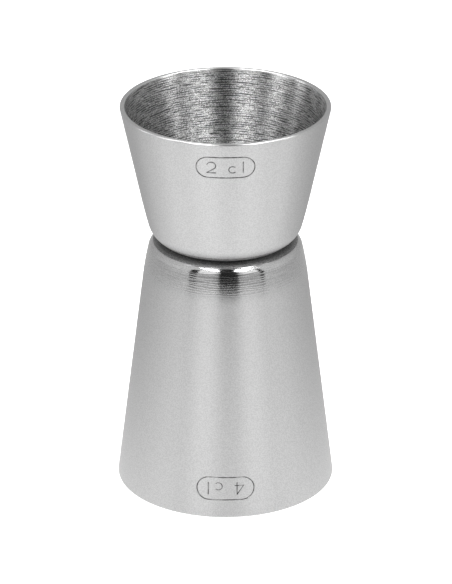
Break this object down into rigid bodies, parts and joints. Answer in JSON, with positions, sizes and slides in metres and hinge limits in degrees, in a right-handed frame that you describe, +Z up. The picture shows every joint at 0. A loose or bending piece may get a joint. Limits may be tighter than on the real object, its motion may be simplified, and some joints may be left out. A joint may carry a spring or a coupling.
{
  "type": "bar jigger",
  "caption": "Double-ended bar measure: two drawn stainless steel cups of unequal size, joined base to base by a spot weld.",
  "frame": {"origin": "centre of the circle that the large cup's mouth stands on", "axes": "+Z up along the axis of both cups, towards the small cup's mouth; the engraved capacity marks face -Y"},
  "size_m": [0.0406, 0.0406, 0.0742],
  "materials": {
    "satin_steel": "stainless steel, satin outside, turned brush lines inside, polished at the shoulders and rims",
    "weld_metal": "as it set in the joint, grey and dull"
  },
  "bodies": {
    "root": {"small_cup": "satin_steel", "large_cup": "satin_steel", "weld_nugget": "weld_metal"}
  },
  "joints": []
}
